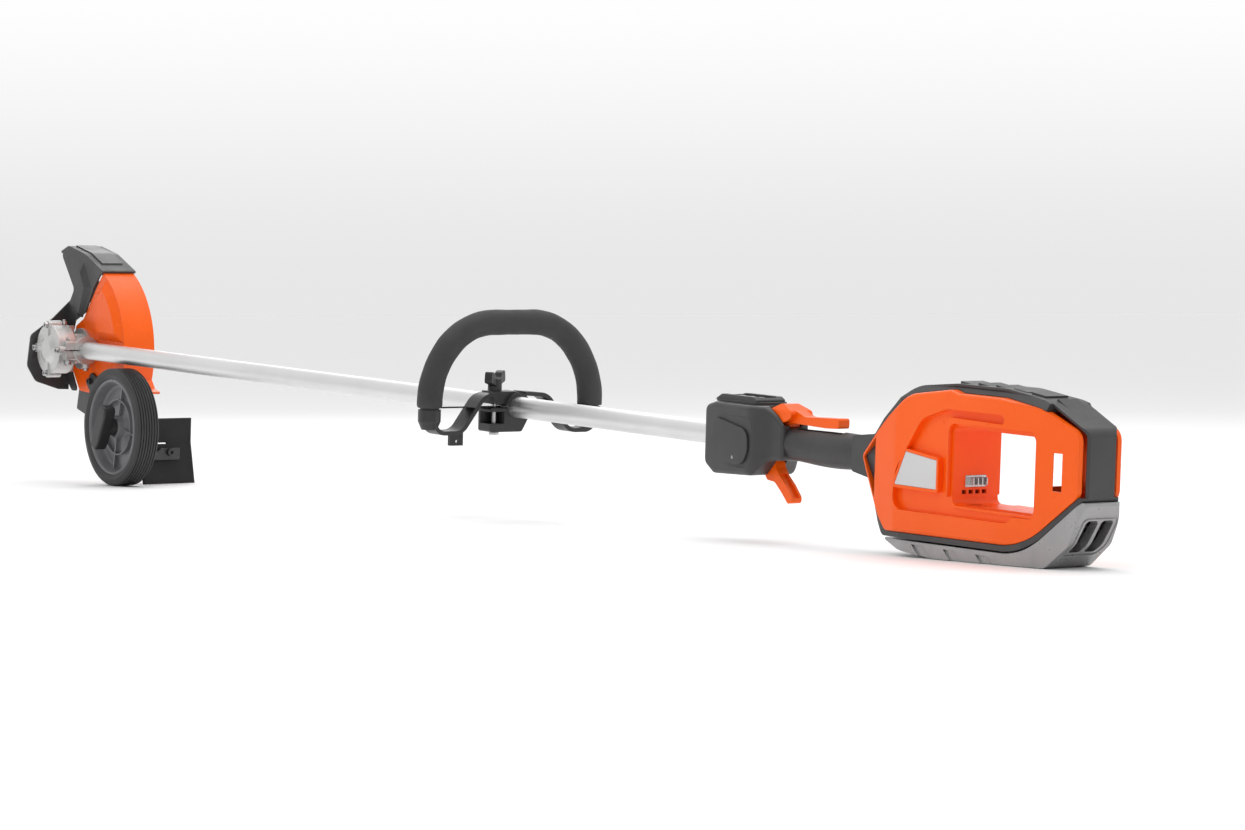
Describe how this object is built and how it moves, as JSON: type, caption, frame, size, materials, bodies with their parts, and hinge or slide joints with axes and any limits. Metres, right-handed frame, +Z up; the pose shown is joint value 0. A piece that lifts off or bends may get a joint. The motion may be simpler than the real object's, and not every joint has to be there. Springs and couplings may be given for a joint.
{
  "type": "lawn edger",
  "caption": "Battery lawn edger: steel edging blade under a guard, a wheel, a long tube with a loop handle, a trigger grip and a battery housing.",
  "frame": {"origin": "centre of the bounding box in plan, on the floor the machine rests on", "axes": "+X along the shaft from the edging head to the battery housing, +Y from the wheel side to the blade side, +Z up"},
  "size_m": [2.2392, 0.265, 0.3452],
  "materials": {
    "cast_aluminium": "as-cast satin",
    "tube_aluminium": "drawn, satin",
    "gear_steel": "machined",
    "blade_steel": "ground",
    "plated_steel": "zinc plated",
    "orange_paint": "satin",
    "orange_plastic": "gloss",
    "dark_plastic": "fine texture",
    "black_plastic": "fine texture",
    "grey_plastic": "satin",
    "silver_plastic": "satin",
    "dark_steel": "satin",
    "label": "satin",
    "strip_grey": "satin",
    "black_paint": "satin",
    "tyre_rubber": "matte",
    "flap_rubber": "matte",
    "foam": "foam",
    "grip_rubber": "matte",
    "copper": "enamelled",
    "board_green": "satin"
  },
  "bodies": {
    "machine": {"ball_bearings": "gear_steel", "battery_bay": "orange_plastic", "blade_guard": "orange_paint", "circuit_boards": "board_green", "control_shell_left": "dark_plastic", "control_shell_right": "dark_plastic", "debris_flap": "flap_rubber", "flap_bracket": "black_paint", "gearbox_case": "cast_aluminium", "gearbox_cover": "cast_aluminium", "gearbox_screws": "plated_steel", "grease_plug": "plated_steel", "grip_core": "black_plastic", "grip_sleeve": "grip_rubber", "guard_hood": "dark_plastic", "guard_screws": "dark_steel", "hood_wear_strip": "strip_grey", "housing_screws": "plated_steel", "housing_spine": "dark_plastic", "intake_grille": "black_plastic", "keypad": "dark_plastic", "label_plate": "label", "lever_pins": "plated_steel", "motor_stator": "copper", "shaft_collar": "dark_plastic", "shaft_liners": "black_plastic", "shaft_tube": "tube_aluminium", "side_cover": "dark_plastic", "side_panel_left": "orange_plastic", "side_panel_right": "orange_plastic", "skid_plate": "silver_plastic", "terminal_block": "plated_steel", "trigger_mount": "dark_plastic", "trigger_switch": "black_plastic", "wheel_bracket": "black_paint"},
    "blade_group": {"blade_arbor": "gear_steel", "inner_flange": "blade_steel", "blade": "dark_steel", "outer_flange": "blade_steel", "blade_nut": "plated_steel", "driven_gear": "gear_steel"},
    "drive_group": {"pinion_gear": "gear_steel", "drive_rod": "gear_steel", "rod_coupling": "gear_steel", "motor_rotor": "gear_steel"},
    "wheel_carriage": {"axle_bolt": "plated_steel"},
    "wheel": {"tyre": "tyre_rubber", "wheel_rim": "grey_plastic", "wheel_bush": "grey_plastic"},
    "knob": {"wheel_knob": "black_plastic"},
    "loop_handle": {"loop_frame": "black_plastic", "foam_grip": "foam", "clamp_jaw": "black_plastic", "clamp_bolt": "plated_steel"},
    "wing": {"wing_knob": "black_plastic"},
    "trigger": {"throttle_trigger": "orange_plastic"},
    "lockout": {"trigger_lockout": "orange_plastic"},
    "power": {"power_button": "black_plastic"},
    "mode": {"mode_button": "black_plastic"},
    "boost": {"boost_button": "black_plastic"}
  },
  "joints": [
    {"name": "blade_spin", "type": "hinge", "parent": "machine", "child": "blade_group", "pos_m": [-1.05892, 0, 0.19343], "axis": [0, 1, 0], "continuous": true},
    {"name": "drive_spin", "type": "hinge", "parent": "machine", "child": "drive_group", "pos_m": [-1.00399, 0, 0.1907], "axis": [0.9988, 0, -0.0495], "continuous": true},
    {"name": "wheel_height", "type": "slide", "parent": "machine", "child": "wheel_carriage", "axis": [-0.0495, 0, -0.9988], "range_m": [0, 0.025]},
    {"name": "wheel_spin", "type": "hinge", "parent": "wheel_carriage", "child": "wheel", "pos_m": [-0.89997, 0, 0.08361], "axis": [0, 1, 0], "continuous": true},
    {"name": "wheel_knob_turn", "type": "hinge", "parent": "wheel_carriage", "child": "knob", "pos_m": [-0.89997, 0, 0.08361], "axis": [0, 1, 0], "range_deg": [0, 180]},
    {"name": "loop_handle_slide", "type": "slide", "parent": "machine", "child": "loop_handle", "axis": [0.9988, 0, -0.0495], "range_m": [-0.15, 0.1]},
    {"name": "wing_knob_turn", "type": "hinge", "parent": "loop_handle", "child": "wing", "pos_m": [0.08068, -0.024, 0.13689], "axis": [0.0495, 0, 0.9988], "range_deg": [0, 180]},
    {"name": "trigger_pull", "type": "hinge", "parent": "machine", "child": "trigger", "pos_m": [0.59685, 0, 0.08726], "axis": [0, 1, 0], "range_deg": [-18, 0], "stiffness_Nm_per_rad": 0.6, "springref_deg": 8.59},
    {"name": "lockout_press", "type": "hinge", "parent": "machine", "child": "lockout", "pos_m": [0.62021, 0, 0.13416], "axis": [0, 1, 0], "range_deg": [0, 4.5], "stiffness_Nm_per_rad": 1.5, "springref_deg": -4.58},
    {"name": "power_press", "type": "slide", "parent": "machine", "child": "power", "axis": [-0.0495, 0, -0.9988], "range_m": [0, 0.0012], "stiffness_N_per_m": 400, "springref_m": -0.0008},
    {"name": "mode_press", "type": "slide", "parent": "machine", "child": "mode", "axis": [-0.0495, 0, -0.9988], "range_m": [0, 0.0012], "stiffness_N_per_m": 400, "springref_m": -0.0008},
    {"name": "boost_press", "type": "slide", "parent": "machine", "child": "boost", "axis": [-0.0495, 0, -0.9988], "range_m": [0, 0.0012], "stiffness_N_per_m": 400, "springref_m": -0.0008}
  ],
  "couplings": [
    {"joint": "drive_spin", "follows": "blade_spin", "ratio": 1.4286}
  ]
}
